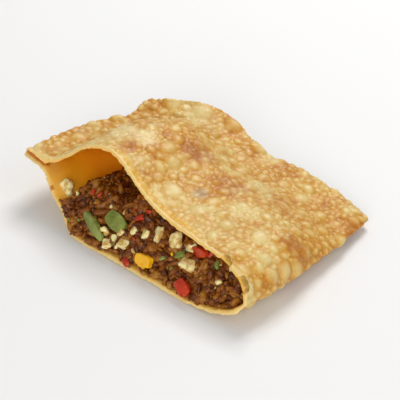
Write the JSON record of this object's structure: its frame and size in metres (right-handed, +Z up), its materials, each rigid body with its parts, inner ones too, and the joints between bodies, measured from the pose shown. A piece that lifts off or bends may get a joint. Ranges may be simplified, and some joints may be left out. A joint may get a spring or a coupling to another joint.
{
  "type": "empanada",
  "caption": "Cut half of a fried half-moon turnover: thin blistered dough folded and sealed over minced meat with vegetables, open at the cut, with an empty steam pocket above the filling.",
  "frame": {"origin": "middle of the half's footprint, on the surface it lies on", "axes": "+X along the knife's cut, from the pressed seam to the fold; +Y from the cut towards the back seam; +Z up, through the sheets"},
  "size_m": [0.1222, 0.0918, 0.0344],
  "materials": {
    "fried_dough": "crisp fried dough with a thin film of oil",
    "minced_meat": "moist cooked mince",
    "green_pepper": "soft cooked pepper, moist",
    "yellow_pepper": "soft cooked pepper, moist",
    "red_pepper": "soft cooked pepper, moist"
  },
  "bodies": {
    "root": {"crust": "fried_dough", "filling": "minced_meat", "green_pepper_strip": "green_pepper", "green_pepper_slice": "green_pepper", "yellow_pepper": "yellow_pepper", "red_pepper_dice": "red_pepper", "red_pepper_strip": "red_pepper"}
  },
  "joints": []
}
